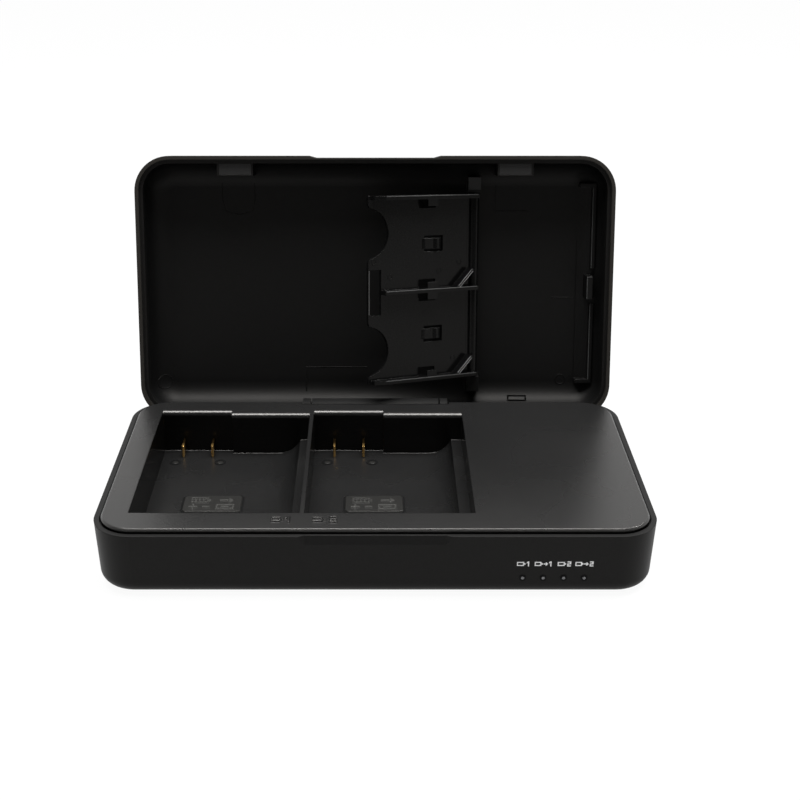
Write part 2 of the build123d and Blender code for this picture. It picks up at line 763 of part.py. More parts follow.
# Main board under the plain area, with a tab towards the right wall for the inlet
with BuildPart() as main_board:
    with BuildSketch(Plane.XY.offset(board_z)):
        with Locations(((board_left + board_shoulder) / 2, 0)):
            Rectangle(board_shoulder - board_left, 2 * board_end)
        with Locations(((board_shoulder + board_right) / 2, 0)):
            Rectangle(board_right - board_shoulder, board_tab_width)
    extrude(amount=board_thickness)
main_board.part.label = "main_board"
export_step(main_board.part, "parts/main_board.step")

# Indicators: a light guide in the front wall and its lamp on the board, four times
guide_front = -wall_face(half_depth, indicator_z) - guide_proud
led_front = -board_end
for number, x in enumerate(indicator_places, start=1):
    with BuildPart() as light_guide:
        with BuildSketch(Plane.XZ.offset(-guide_front)):
            with Locations((x, indicator_z)):
                RegularPolygon(guide_diameter / 2, small_round_sides)
        extrude(amount=-(led_front - guide_gap - guide_front))
    light_guide.part.label = f"light_guide_{number}"
    export_step(light_guide.part, f"parts/light_guide_{number}.step")
    with BuildPart() as status_led:
        with BuildSketch(Plane.XY.offset(board_top)):
            with Locations((x, led_front + led_depth / 2)):
                Rectangle(led_width, led_depth)
        extrude(amount=led_height)
    status_led.part.label = f"status_led_{number}"
    export_step(status_led.part, f"parts/status_led_{number}.step")

# Board parts: control chip, coils, capacitors and the resistors that drain a battery
part_x = board_left + part_from_board
with BuildPart() as charge_chip:
    with BuildSketch(Plane.XY.offset(board_top)):
        with Locations((part_x, 0)):
            Rectangle(chip_size, chip_size)
    extrude(amount=chip_height)
charge_chip.part.label = "charge_chip"
export_step(charge_chip.part, "parts/charge_chip.step")
for number in (1, 2):
    with BuildPart() as power_coil:
        with BuildSketch(Plane.XY.offset(board_top)):
            with Locations((part_x, -number * part_spacing)):
                Rectangle(coil_width, coil_width)
        extrude(amount=coil_height)
    power_coil.part.label = f"power_coil_{number}"
    export_step(power_coil.part, f"parts/power_coil_{number}.step")
    with BuildPart() as filter_capacitor:
        with BuildSketch(Plane.XY.offset(board_top)):
            with Locations((part_x, number * part_spacing)):
                RegularPolygon(capacitor_diameter / 2, small_round_sides)
        extrude(amount=capacitor_height)
    filter_capacitor.part.label = f"filter_capacitor_{number}"
    export_step(filter_capacitor.part, f"parts/filter_capacitor_{number}.step")
    with BuildPart() as discharge_resistor:
        with BuildSketch(Plane.XY.offset(board_top)):
            with Locations((board_left + resistor_from_board, (2 * number - 3) * resistor_from_middle)):
                Rectangle(resistor_width, resistor_length)
        extrude(amount=resistor_height)
    discharge_resistor.part.label = f"discharge_resistor_{number}"
    export_step(discharge_resistor.part, f"parts/discharge_resistor_{number}.step")

# Power inlet: socket on the board's tab, with its round nose in the right wall
inlet_face = wall_face(half_width - base_wall, board_top) - guide_gap
nose_end = wall_face(half_width, inlet_z) - inlet_nose_set_back
with BuildPart() as power_inlet:
    with BuildSketch(Plane.YZ.offset(inlet_face)):
        with Locations((inlet_from_middle, inlet_z)):
            Rectangle(inlet_body_width, inlet_body_width)
    extrude(amount=-inlet_body_length)
    with BuildSketch(Plane.YZ.offset(inlet_face)):
        with Locations((inlet_from_middle, inlet_z)):
            Circle(inlet_nose_diameter / 2)
    extrude(amount=nose_end - inlet_face)
    with BuildSketch(Plane.YZ.offset(nose_end)):
        with Locations((inlet_from_middle, inlet_z)):
            Circle(inlet_bore_diameter / 2)
    extrude(amount=-inlet_bore_depth, mode=Mode.SUBTRACT)
    with BuildSketch(Plane.YZ.offset(nose_end - inlet_bore_depth)):
        with Locations((inlet_from_middle, inlet_z)):
            Circle(inlet_pin_diameter / 2)
    extrude(amount=inlet_pin_length)
power_inlet.part.label = "power_inlet"
export_step(power_inlet.part, "parts/power_inlet.step")

# Rubber feet, pressed into the recesses under the base
for number, place in enumerate(foot_places, start=1):
    with BuildPart() as rubber_foot:
        with BuildSketch(Plane.XY):
            with Locations(place):
                Rectangle(foot_width, foot_width)
        extrude(amount=foot_thickness)
        chamfer(rubber_foot.edges().group_by(Axis.Z)[0], length=foot_edge_chamfer)
    rubber_foot.part.label = f"rubber_foot_{number}"
    export_step(rubber_foot.part, f"parts/rubber_foot_{number}.step")

# Case screws, under the feet, up into the deck's posts
head_z = base_z + foot_recess
with BuildPart() as case_screws:
    with BuildSketch(Plane.XY.offset(head_z)):
        with Locations(*foot_places):
            RegularPolygon(screw_head_width / 2, screw_head_sides, major_radius=False)
    extrude(amount=screw_head_height)
    with BuildSketch(Plane.XY.offset(head_z)):
        with Locations(*foot_places):
            RegularPolygon(screw_diameter / 2, small_round_sides)
    extrude(amount=floor_z + screw_bite - head_z)
case_screws.part.label = "case_screws"
export_step(case_screws.part, "parts/case_screws.step")
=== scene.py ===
import math

import bmesh
import bpy
from mathutils import Matrix, Vector
from mathutils.bvhtree import BVHTree


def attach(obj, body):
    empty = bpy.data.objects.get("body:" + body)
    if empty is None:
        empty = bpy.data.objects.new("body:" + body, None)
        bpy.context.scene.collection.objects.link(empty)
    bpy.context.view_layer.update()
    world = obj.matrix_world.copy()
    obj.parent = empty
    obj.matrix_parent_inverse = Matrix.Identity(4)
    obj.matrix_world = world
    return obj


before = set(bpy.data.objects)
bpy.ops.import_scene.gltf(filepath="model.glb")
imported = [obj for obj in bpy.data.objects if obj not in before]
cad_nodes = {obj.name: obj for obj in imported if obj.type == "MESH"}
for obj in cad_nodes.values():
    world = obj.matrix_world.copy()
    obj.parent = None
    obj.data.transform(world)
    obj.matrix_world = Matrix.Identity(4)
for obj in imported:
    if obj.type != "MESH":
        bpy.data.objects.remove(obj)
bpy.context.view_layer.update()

# Base shell. The lower tub is one moulding in black plastic with a fine, dull grain.
# Its rim carries the deck, and the bar across the rear wall takes the hinge pin.
# Its lowest edge is painted paler, a painted reflection of the white table in its bottom fillet.
MM = 0.001


def new_finish(name, specular):
    """Material whose patterns follow Object coordinates."""
    material = bpy.data.materials.new(name)
    material.use_nodes = True
    tree = material.node_tree
    tree.nodes["Principled BSDF"].inputs["Specular IOR Level"].default_value = specular
    tree.nodes.new("ShaderNodeTexCoord").name = "place"
    return material


def object_noise(tree, scale, detail):
    """Noise that stays with the piece."""
    noise = tree.nodes.new("ShaderNodeTexNoise")
    noise.inputs["Scale"].default_value = scale
    noise.inputs["Detail"].default_value = detail
    tree.links.new(tree.nodes["place"].outputs["Object"], noise.inputs["Vector"])
    return noise.outputs["Fac"]


def mottled_colour(tree, pattern, colour, darkest, lightest):
    """Colour that a pattern varies between two shares of itself."""
    tone = tree.nodes.new("ShaderNodeMix")
    tone.name = "tone"
    tone.data_type = "RGBA"
    tone.inputs["A"].default_value = [darkest * channel for channel in colour] + [1.0]
    tone.inputs["B"].default_value = [lightest * channel for channel in colour] + [1.0]
    tree.links.new(pattern, tone.inputs["Factor"])
    tree.links.new(tone.outputs["Result"], tree.nodes["Principled BSDF"].inputs["Base Color"])


def moulded_plastic(name, colour, roughness, specular, grain_size, grain_height, edge_round):
    """Black plastic: fine mould grain, faint clouding of the sheen and softened edges."""
    cloud_size = 60 * grain_size
    sheen_spread = 0.05
    warm_tint = (1.0, 0.97, 0.93, 1.0)
    material = new_finish(name, specular)
    tree = material.node_tree
    shader = tree.nodes["Principled BSDF"]
    shader.inputs["Specular Tint"].default_value = warm_tint
    grain = object_noise(tree, 1 / grain_size, detail=3.0)
    cloud = object_noise(tree, 1 / cloud_size, detail=2.0)
    mottled_colour(tree, grain, colour, darkest=0.7, lightest=1.3)
    sheen = tree.nodes.new("ShaderNodeMapRange")
    sheen.name = "sheen"
    sheen.inputs["To Min"].default_value = roughness - sheen_spread
    sheen.inputs["To Max"].default_value = roughness + sheen_spread
    tree.links.new(cloud, sheen.inputs["Value"])
    tree.links.new(sheen.outputs["Result"], shader.inputs["Roughness"])
    edge = tree.nodes.new("ShaderNodeBevel")
    edge.samples = 6
    edge.inputs["Radius"].default_value = edge_round
    bump = tree.nodes.new("ShaderNodeBump")
    bump.inputs["Distance"].default_value = grain_height
    bump.inputs["Strength"].default_value = 0.7
    tree.links.new(grain, bump.inputs["Height"])
    tree.links.new(edge.outputs["Normal"], bump.inputs["Normal"])
    tree.links.new(bump.outputs["Normal"], shader.inputs["Normal"])
    return material


def along(tree, vector, direction):
    """How far a vector reaches in one direction."""
    reach = tree.nodes.new("ShaderNodeVectorMath")
    reach.operation = "DOT_PRODUCT"
    reach.inputs[1].default_value = direction
    tree.links.new(vector, reach.inputs[0])
    return reach.outputs["Value"]


def shade_towards(tree, value, start, end, colour):
    """Turns a finish to another colour while a value goes from start to end."""
    share = tree.nodes.new("ShaderNodeMapRange")
    share.inputs["From Min"].default_value = start
    share.inputs["From Max"].default_value = end
    tree.links.new(value, share.inputs["Value"])
    shade = tree.nodes.new("ShaderNodeMix")
    shade.data_type = "RGBA"
    shade.inputs["B"].default_value = (*colour, 1.0)
    tree.links.new(share.outputs["Result"], shade.inputs["Factor"])
    tree.links.new(tree.nodes["tone"].outputs["Result"], shade.inputs["A"])
    tree.links.new(shade.outputs["Result"], tree.nodes["Principled BSDF"].inputs["Base Color"])
    return share.outputs["Result"]


def finish_nodes(material, *names):
    """Gives the named CAD pieces this finish."""
    for name in names:
        mesh = cad_nodes[name].data
        mesh.materials.clear()
        mesh.materials.append(material)


case_grain = moulded_plastic("case_grain", (0.006, 0.006, 0.006), roughness=0.45, specular=0.12,
                             grain_size=0.35 * MM, grain_height=0.03 * MM, edge_round=0.3 * MM)
tree = case_grain.node_tree
# Painted reflection: the finish turns paler over the lowest 2.4 mm, standing in for the white table mirrored
# in the bottom fillet.
height = along(tree, tree.nodes["place"].outputs["Object"], (0, 0, 1))
shade_towards(tree, height, start=2.4 * MM, end=0.6 * MM, colour=(0.040, 0.035, 0.031))
finish_nodes(case_grain, "base_shell")

# Feet and screws under the base. The inset rubber pads are matt and cover the screws.
# The screws' hexagon heads are bright steel, and so is the hinge pin.


def plain_finish(name, colour, roughness, specular, metallic=0.0):
    """One colour with a slight mottle, for small or hidden pieces."""
    material = new_finish(name, specular)
    tree = material.node_tree
    shader = tree.nodes["Principled BSDF"]
    shader.inputs["Metallic"].default_value = metallic
    shader.inputs["Roughness"].default_value = roughness
    mottle = object_noise(tree, scale=1500.0, detail=2.0)
    mottled_colour(tree, mottle, colour, darkest=0.85, lightest=1.1)
    return material


foot_rubber = plain_finish("foot_rubber", (0.012, 0.012, 0.012), roughness=0.8, specular=0.2)
finish_nodes(foot_rubber, "rubber_foot_1", "rubber_foot_2", "rubber_foot_3", "rubber_foot_4")
bright_steel = plain_finish("bright_steel", (0.55, 0.56, 0.58), roughness=0.3, specular=0.5, metallic=1.0)
finish_nodes(bright_steel, "case_screws", "hinge_pin")

# Circuit boards inside the base: green laminate with the chip, coils, capacitors, resistors and lamps.
# The inlet's socket shows in the right wall.
board_green = plain_finish("board_green", (0.02, 0.10, 0.04), roughness=0.4, specular=0.5)
finish_nodes(board_green, "main_board", "contact_board")
part_black = plain_finish("part_black", (0.015, 0.015, 0.016), roughness=0.5, specular=0.4)
finish_nodes(part_black, "charge_chip", "power_coil_1", "power_coil_2", "power_inlet")
part_can = plain_finish("part_can", (0.6, 0.61, 0.63), roughness=0.35, specular=0.5, metallic=1.0)
finish_nodes(part_can, "filter_capacitor_1", "filter_capacitor_2")
part_ceramic = plain_finish("part_ceramic", (0.65, 0.62, 0.55), roughness=0.7, specular=0.3)
finish_nodes(part_ceramic, "discharge_resistor_1", "discharge_resistor_2")
lamp_body = plain_finish("lamp_body", (0.7, 0.7, 0.65), roughness=0.4, specular=0.5)
finish_nodes(lamp_body, "status_led_1", "status_led_2", "status_led_3", "status_led_4")

# Indicators on the front wall: four clear light guides, each seen through a small hole in a dark ring of
# painted shade, the shade of the recess round it.
# Above them are white printed marks, a battery or an arrow beside the number of the bay.
guide_clear = plain_finish("guide_clear", (0.19, 0.19, 0.195), roughness=0.4, specular=0.4)
finish_nodes(guide_clear, "light_guide_1", "light_guide_2", "light_guide_3", "light_guide_4")


def link_piece(name, mesh, material, body):
    """Adds one finished piece that rides on a body of the frame."""
    piece = bpy.data.objects.new(name, mesh)
    bpy.context.scene.collection.objects.link(piece)
    mesh.materials.clear()
    mesh.materials.append(material)
    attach(piece, body)


def finished_mesh(name, work):
    """Mesh of the faces drawn so far, all pointing outwards."""
    bmesh.ops.recalc_face_normals(work, faces=work.faces)
    mesh = bpy.data.meshes.new(name)
    work.to_mesh(mesh)
    work.free()
    return mesh


def circle_points(radius, height, place, segments):
    """Points round a circle over the plane of a matrix, in millimetres."""
    points = []
    for number in range(segments):
        turn = 2 * math.pi * number / segments
        points.append(place @ (Vector((radius * math.cos(turn), radius * math.sin(turn), height)) * MM))
    return points


def ring_mesh(name, inner, outer, height, place, segments=32):
    """Flat ring standing on the plane of a matrix, in millimetres."""
    work = bmesh.new()
    loops = [[work.verts.new(point) for point in circle_points(radius, z, place, segments)]
             for radius, z in ((inner, 0), (inner, height), (outer, height), (outer, 0))]
    for first, second in zip(loops, loops[1:] + loops[:1]):
        for turn in range(segments):
            after = (turn + 1) % segments
            work.faces.new((first[turn], first[after], second[after], second[turn]))
    return finished_mesh(name, work)


def repeat_mesh(name, unit, count, pitch, material):
    """Copies a unit along X with geometry nodes and returns the joined mesh."""
    group = bpy.data.node_groups.new(name + "_row", "GeometryNodeTree")
    group.interface.new_socket("Geometry", in_out="INPUT", socket_type="NodeSocketGeometry")
    count_socket = group.interface.new_socket("Count", in_out="INPUT", socket_type="NodeSocketInt")
    step_socket = group.interface.new_socket("Step", in_out="INPUT", socket_type="NodeSocketVector")
    group.interface.new_socket("Geometry", in_out="OUTPUT", socket_type="NodeSocketGeometry")
    given = group.nodes.new("NodeGroupInput")
    line = group.nodes.new("GeometryNodeMeshLine")
    copies = group.nodes.new("GeometryNodeInstanceOnPoints")
    real = group.nodes.new("GeometryNodeRealizeInstances")
    coat = group.nodes.new("GeometryNodeSetMaterial")
    coat.inputs["Material"].default_value = material
    result = group.nodes.new("NodeGroupOutput")
    group.links.new(given.outputs["Count"], line.inputs["Count"])
    group.links.new(given.outputs["Step"], line.inputs["Offset"])
    group.links.new(line.outputs["Mesh"], copies.inputs["Points"])
    group.links.new(given.outputs["Geometry"], copies.inputs["Instance"])
    group.links.new(copies.outputs["Instances"], real.inputs["Geometry"])
    group.links.new(real.outputs["Geometry"], coat.inputs["Geometry"])
    group.links.new(coat.outputs["Geometry"], result.inputs["Geometry"])
    source = bpy.data.objects.new(name + "_unit", unit)
    bpy.context.scene.collection.objects.link(source)
    row = source.modifiers.new("row", "NODES")
    row.node_group = group
    row[count_socket.identifier] = count
    row[step_socket.identifier] = (pitch * MM, 0, 0)
    bpy.context.view_layer.update()
    mesh = bpy.data.meshes.new_from_object(source.evaluated_get(bpy.context.evaluated_depsgraph_get()))
    mesh.name = name
    source.modifiers.remove(row)
    bpy.data.objects.remove(source)
    return mesh


def plane_at(origin, across, up, out):
    """Matrix of a plane at a point in metres, with its own three axes."""
    return Matrix.Translation(origin) @ Matrix((across, up, out)).transposed().to_4x4()


front_y = -39.35
rim_z = 17.7
wall_draft = math.radians(2.5)
sideways = Vector((1, 0, 0))
wall_up = Vector((0, -math.sin(wall_draft), math.cos(wall_draft)))


def front_plane(x, z):
    """Plane of the drafted front wall at a height above the table, in millimetres."""
    y = front_y + (rim_z - z) * math.tan(wall_draft)
    return plane_at(Vector((x, y, z)) * MM, sideways, wall_up, sideways.cross(wall_up))


window_x, window_z, window_pitch = 36.8, 5.6, 5.12
window_radius, recess_shade_radius, recess_shade_height = 0.42, 0.85, 0.16
# Painted shade: a flat dark ring round each window stands for the shade in the recess of the light guide.
painted_shade_dark = plain_finish("painted_shade_dark", (0.002, 0.002, 0.002), roughness=0.6, specular=0.1)
recess_shade_unit = ring_mesh("recess_shade_unit", window_radius, recess_shade_radius, recess_shade_height,
                       place=front_plane(window_x, window_z))
recess_shades = repeat_mesh("indicator_recess_shades", recess_shade_unit, 4, window_pitch, painted_shade_dark)
link_piece("indicator_recess_shades", recess_shades, painted_shade_dark, "base")


def drawn_in(outline, amount):
    """Moves the corners of a convex outline inwards."""
    corners = []
    for number, corner in enumerate(outline):
        here = Vector(corner)
        before = (here - Vector(outline[number - 1])).normalized()
        after = (Vector(outline[(number + 1) % len(outline)]) - here).normalized()
        inward = Vector((-before.y - after.y, before.x + after.x))
        corners.append(here + inward * amount / (1 + before.dot(after)))
    return corners


def slab_mesh(name, outlines, face, rise, place, slope=0.0, sunk=0.05):
    """Stands convex outlines on a face, sunk a little into it, with sloped sides, in millimetres."""
    work = bmesh.new()
    low, high = face - sunk, face + rise
    for outline in outlines:
        lower = [work.verts.new(place @ (Vector((x, y, low)) * MM)) for x, y in outline]
        upper = [work.verts.new(place @ (Vector((x, y, high)) * MM)) for x, y in drawn_in(outline, slope)]
        work.faces.new(lower[::-1])
        work.faces.new(upper)
        for number in range(len(outline)):
            after = (number + 1) % len(outline)
            work.faces.new((lower[number], lower[after], upper[after], upper[number]))
    return finished_mesh(name, work)


def bar(x0, y0, x1, y1):
    """Corners of an upright rectangle."""
    return [(x0, y0), (x1, y0), (x1, y1), (x0, y1)]


def outline_bars(x0, y0, x1, y1, width):
    """Four bars that frame a rectangle."""
    return [bar(x0, y0, x1, y0 + width), bar(x0, y1 - width, x1, y1),
            bar(x0, y0 + width, x0 + width, y1 - width), bar(x1 - width, y0 + width, x1, y1 - width)]


def digit_bars(digit, x, y, width, height, stroke):
    """The figure 1 or 2 drawn with straight strokes."""
    top = y + height
    if digit == 1:
        stem_left = x + width / 2 - stroke / 2
        flag_left = x + width / 2 - 1.6 * stroke
        return [bar(stem_left, y, x + width / 2 + stroke / 2, top),
                [(flag_left, top - 2 * stroke), (stem_left, top - 1.4 * stroke), (stem_left, top),
                 (flag_left, top - stroke)]]
    half = y + height / 2
    return [bar(x, top - stroke, x + width, top), bar(x, y, x + width, y + stroke),
            bar(x, half - stroke / 2, x + width, half + stroke / 2),
            bar(x + width - stroke, half + stroke / 2, x + width, top - stroke),
            bar(x, y + stroke, x + stroke, half - stroke / 2)]


def battery_bars(x, y, width, height, stroke):
    """Small battery: a frame with its terminal at the right."""
    body = width - 1.2 * stroke
    return outline_bars(x, y, x + body, y + height, stroke) + [
        bar(x + body, y + height * 0.3, x + width, y + height * 0.7)]


def arrow_bars(x, y, width, height, stroke):
    """Arrow that points to the right."""
    half = y + height / 2
    neck = x + width - height / 2
    head = [(neck, y), (x + width, half), (neck, y + height)]
    return [bar(x, half - stroke / 2, neck, half + stroke / 2), head]


mark_z = 9.03
icon_y, icon_height, icon_stroke = 0.15, 1.2, 0.28
digit_width, digit_height, digit_stroke = 0.95, 1.5, 0.3
print_white = plain_finish("print_white", (0.78, 0.78, 0.78), roughness=0.6, specular=0.3)
printed = []
for left, bay in ((35.2, 1), (45.3, 2)):
    printed += battery_bars(left, icon_y, 2.1, icon_height, icon_stroke)
    printed += digit_bars(bay, left + 2.4, 0, digit_width, digit_height, digit_stroke)
for left, bay in ((39.6, 1), (49.7, 2)):
    printed += battery_bars(left, icon_y, 2.0, icon_height, icon_stroke)
    printed += arrow_bars(left + 2.2, icon_y, 1.15, icon_height, digit_stroke)
    printed += digit_bars(bay, left + 3.55, 0, digit_width, digit_height, digit_stroke)
marks = slab_mesh("front_marks", printed, face=0, rise=0.03, place=front_plane(0, mark_z), sunk=0.02)
link_piece("front_marks", marks, print_white, "base")

# Deck. The raised cover with both battery wells is a second moulding, smoother than the base.
# Its upright walls carry painted shade that makes them darker than its level faces, and raised figures on its
# front margin number the bays.
# The floor of each well has a plate with signs, framed by a dark band of painted shade, and two small pins,
# each ringed by painted shade.
deck_grain = moulded_plastic("deck_grain", (0.007, 0.007, 0.007), roughness=0.27, specular=0.55,
                             grain_size=0.4 * MM, grain_height=0.06 * MM, edge_round=0.35 * MM)
wall_roughness = 0.2
tree = deck_grain.node_tree
# Painted shade: faces that turn from level to upright are darkened, as the walls of the wells lie in shade;
# they are also made smoother.
facing = tree.nodes.new("ShaderNodeNewGeometry")
level = along(tree, facing.outputs["True Normal"], (0, 0, 1))
wall_shade_share = shade_towards(tree, level, start=0.7, end=0.2, colour=(0.0008, 0.0008, 0.0008))
wall_sheen = tree.nodes.new("ShaderNodeMix")
wall_sheen.inputs["B"].default_value = wall_roughness
tree.links.new(wall_shade_share, wall_sheen.inputs["Factor"])
tree.links.new(tree.nodes["sheen"].outputs["Result"], wall_sheen.inputs["A"])
tree.links.new(wall_sheen.outputs["Result"], tree.nodes["Principled BSDF"].inputs["Roughness"])
finish_nodes(deck_grain, "deck")

deck_z = 18.77
battery_y, battery_height, battery_stroke = -33.9, 2.4, 0.7
number_y, number_height = -34.2, 3.0
raised = battery_bars(-26.15, battery_y, 3.4, battery_height, battery_stroke)
raised += digit_bars(1, -22.4, number_y, 1.7, number_height, stroke=0.75)
raised += battery_bars(-15.8, battery_y, 3.6, battery_height, battery_stroke)
raised += digit_bars(2, -11.6, number_y, 2.1, number_height, stroke=0.7)
figures = slab_mesh("deck_figures", raised, face=deck_z, rise=0.35, place=Matrix.Identity(4), slope=0.26)
link_piece("deck_figures", figures, deck_grain, "base")


def clipped_bar(x0, y0, x1, y1, corner):
    """Rectangle with its corners cut off."""
    return [(x0 + corner, y0), (x1 - corner, y0), (x1, y0 + corner), (x1, y1 - corner),
            (x1 - corner, y1), (x0 + corner, y1), (x0, y1 - corner), (x0, y0 + corner)]


plate_satin = moulded_plastic("plate_satin", (0.009, 0.009, 0.0085), roughness=0.35, specular=0.5,
                              grain_size=0.35 * MM, grain_height=0.02 * MM, edge_round=0.15 * MM)
sign_satin = moulded_plastic("sign_satin", (0.028, 0.028, 0.0265), roughness=0.4, specular=0.45,
                             grain_size=0.35 * MM, grain_height=0.02 * MM, edge_round=0.1 * MM)
plate_outline = clipped_bar(9.55, -7.0, 25.75, 2.3, corner=0.9)
shade_frame_width = 0.45
plate_rise = 0.4
battery_sign = battery_bars(11.6, -2.2, 5.6, 2.8, 0.55)
arrow_sign = arrow_bars(19.4, -2.2, 4.0, 2.8, 0.9)
cell_bars = [bar(12.6 + 1.1 * cell, -1.4, 13.2 + 1.1 * cell, -0.2) for cell in range(3)]
plus_sign = [bar(11.2, -4.8, 13.8, -4.0), bar(12.1, -4.0, 12.9, -3.1), bar(12.1, -5.7, 12.9, -4.8)]
minus_sign = [bar(15.0, -4.8, 17.2, -4.0)]
framed_bar = outline_bars(18.6, -5.8, 23.8, -3.0, 0.7) + [bar(20.0, -4.9, 22.4, -3.9)]
signs = battery_sign + arrow_sign + cell_bars + plus_sign + minus_sign + framed_bar
shade_frame_outline = drawn_in(plate_outline, -shade_frame_width)
bay_left, bay_pitch, floor_z = -62.3, 44.35, 6.1
for bay in (1, 2):
    bay_plane = Matrix.Translation(Vector((bay_left + (bay - 1) * bay_pitch, 0, floor_z)) * MM)
    # Painted shade: a thin dark sheet round the plate stands for the shade in the gap about its edge.
    groove_shade = slab_mesh(f"bay_{bay}_groove", [shade_frame_outline], face=0, rise=0.03, place=bay_plane)
    link_piece(f"bay_{bay}_groove", groove_shade, painted_shade_dark, "base")
    plate = slab_mesh(f"bay_{bay}_plate", [plate_outline], face=0, rise=plate_rise, place=bay_plane,
                      slope=0.3)
    link_piece(f"bay_{bay}_plate", plate, plate_satin, "base")
    plate_signs = slab_mesh(f"bay_{bay}_signs", signs, face=plate_rise, rise=0.25, place=bay_plane,
                            slope=0.15)
    link_piece(f"bay_{bay}_signs", plate_signs, sign_satin, "base")


def dome_mesh(name, radius, height, place, segments=24, steps=4):
    """Low round dome on the plane of a matrix, in millimetres."""
    work = bmesh.new()
    top = work.verts.new(place @ (Vector((0, 0, height)) * MM))
    loops = []
    for step in range(1, steps + 1):
        lean = math.pi / 2 * step / steps
        points = circle_points(radius * math.sin(lean), height * math.cos(lean), place, segments)
        loops.append([work.verts.new(point) for point in points])
    for turn in range(segments):
        after = (turn + 1) % segments
        work.faces.new((top, loops[0][turn], loops[0][after]))
        for inner, outer in zip(loops, loops[1:]):
            work.faces.new((inner[turn], outer[turn], outer[after], inner[after]))
    work.faces.new(loops[-1][::-1])
    return finished_mesh(name, work)


pin_y, pin_radius, ring_radius = 22.75, 0.95, 1.7
pin_sunk = 0.02
for number, offset in enumerate((4.0, 17.1), start=1):
    spot = Matrix.Translation(Vector((bay_left + offset, pin_y, floor_z - pin_sunk)) * MM)
    # Painted shade: a flat dark ring round each pin stands for the shade of the hollow round it.
    ring_unit = ring_mesh(f"ring_unit_{number}", pin_radius, ring_radius, height=0.12, place=spot)
    rings = repeat_mesh(f"floor_rings_{number}", ring_unit, 2, bay_pitch, painted_shade_dark)
    link_piece(f"floor_rings_{number}", rings, painted_shade_dark, "base")
    pin_unit = dome_mesh(f"pin_unit_{number}", pin_radius, height=0.16, place=spot)
    pins = repeat_mesh(f"floor_pins_{number}", pin_unit, 2, bay_pitch, plate_satin)
    link_piece(f"floor_pins_{number}", pins, plate_satin, "base")

# Contacts. Four gold-plated blades reach through the rear walls of the wells.
# They stand on edge with softened corners, and carry painted shade that darkens them where they enter the
# wall.
contact_gold = plain_finish("contact_gold", (0.80, 0.50, 0.17), roughness=0.25, specular=0.5, metallic=0.9)
tree = contact_gold.node_tree
soft_edge = tree.nodes.new("ShaderNodeBevel")
soft_edge.inputs["Radius"].default_value = 0.2 * MM
tree.links.new(soft_edge.outputs["Normal"], tree.nodes["Principled BSDF"].inputs["Normal"])
# Painted shade: the blades turn dark towards the rear, where they reach into the shaded slot.
inward = along(tree, tree.nodes["place"].outputs["Object"], (0, 1, 0))
shade_towards(tree, inward, start=26.2 * MM, end=28.2 * MM, colour=(0.06, 0.038, 0.014))
finish_nodes(contact_gold, "bay_1_contact_left", "bay_1_contact_right", "bay_2_contact_left",
             "bay_2_contact_right")

# Lid. A hollow moulding with soft edges, duller than the deck; the cut face of its rim carries painted light
# that makes it paler.
# Magnets sit in its front blocks, and faint witness lines and ejector rings lie on its inner floor.
# The edges of the bracket and the catch carry strips of painted highlight, and a cap closes the tray's upper
# boss.
lid_lean = math.radians(13.7)
lid_up = Vector((0, math.sin(lid_lean), math.cos(lid_lean)))
lid_out = Vector((0, -math.cos(lid_lean), math.sin(lid_lean)))
lid_middle = Vector((0, 52.6358, 48.6860)) * MM
lid_frame = plane_at(lid_middle, sideways, lid_up, lid_out)

lid_grain = moulded_plastic("lid_grain", (0.0034, 0.0034, 0.0034), roughness=0.5, specular=0.14,
                            grain_size=0.35 * MM, grain_height=0.03 * MM, edge_round=0.3 * MM)
tree = lid_grain.node_tree
# Painted light: the finish turns paler over the last 1.6 mm towards the rim's face, standing in for the glow
# of the bright background round the rim.
depth = along(tree, tree.nodes["place"].outputs["Object"], lid_out)
mouth = lid_middle.dot(lid_out)
shade_towards(tree, depth, start=mouth - 1.6 * MM, end=mouth - 0.1 * MM, colour=(0.017, 0.0155, 0.0135))
finish_nodes(lid_grain, "lid_shell")
magnet_plate = plain_finish("magnet_plate", (0.012, 0.0115, 0.011), roughness=0.5, specular=0.3)
finish_nodes(magnet_plate, "lid_magnet_left", "lid_magnet_right", "base_magnet_left", "base_magnet_right")

lid_mesh = cad_nodes["lid_shell"].data
lid_tree = BVHTree.FromPolygons([vertex.co for vertex in lid_mesh.vertices],
                                [polygon.vertices for polygon in lid_mesh.polygons])


def drape_strip(work, points, width, lift, sunk=0.05, start_depth=1.7):
    """Thin strip along a path on the lid's inner face, given in the lid's own plane in millimetres."""
    rows = []
    for number, (x, y) in enumerate(points):
        before = Vector(points[max(number - 1, 0)])
        after = Vector(points[min(number + 1, len(points) - 1)])
        side = (after - before).orthogonal().normalized() * width / 2
        row = []
        for sign in (-1, 1):
            start = lid_frame @ (Vector((x + sign * side.x, y + sign * side.y, -start_depth)) * MM)
            hit = lid_tree.ray_cast(start, -lid_out)[0]
            row.append((work.verts.new(hit - sunk * MM * lid_out), work.verts.new(hit + lift * MM * lid_out)))
        rows.append(row)
    for first, second in zip(rows, rows[1:]):
        work.faces.new((first[0][1], second[0][1], second[1][1], first[1][1]))
        work.faces.new((first[0][0], second[0][0], second[0][1], first[0][1]))
        work.faces.new((first[1][0], first[1][1], second[1][1], second[1][0]))
        work.faces.new((first[0][0], first[1][0], second[1][0], second[0][0]))
    for row in (rows[0], rows[-1]):
        work.faces.new((row[0][0], row[0][1], row[1][1], row[1][0]))


